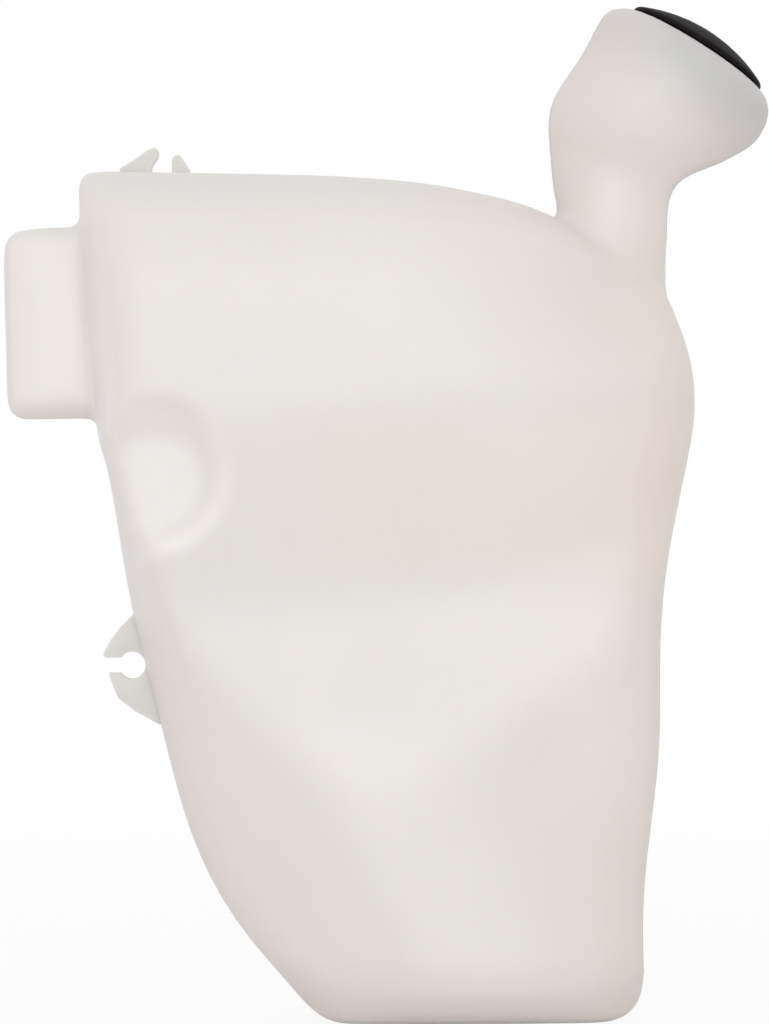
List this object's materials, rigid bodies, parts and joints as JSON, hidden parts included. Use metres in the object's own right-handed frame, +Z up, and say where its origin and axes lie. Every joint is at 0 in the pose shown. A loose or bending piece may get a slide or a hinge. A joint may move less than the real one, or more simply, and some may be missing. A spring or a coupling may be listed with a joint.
{
  "type": "washer fluid reservoir",
  "caption": "Blow-moulded washer fluid tank for a car, with a flared filler neck, a push-in cap, a hollow mounting foot, hose clips and a pump seat.",
  "frame": {"origin": "middle of the flat base, on the plane where the two halves of the mould meet", "axes": "+Z up, front towards -Y, filler neck on the +X side"},
  "size_m": [0.2826, 0.112, 0.375],
  "materials": {
    "natural_hdpe": "milky, slightly translucent, satin",
    "black_plastic": "satin black"
  },
  "bodies": {
    "reservoir": {"reservoir": "natural_hdpe"},
    "cap": {"cap": "black_plastic"}
  },
  "joints": [
    {"name": "cap_pull", "type": "slide", "parent": "reservoir", "child": "cap", "axis": [0.5373, 0, 0.8434], "range_m": [0, 0.06]}
  ]
}
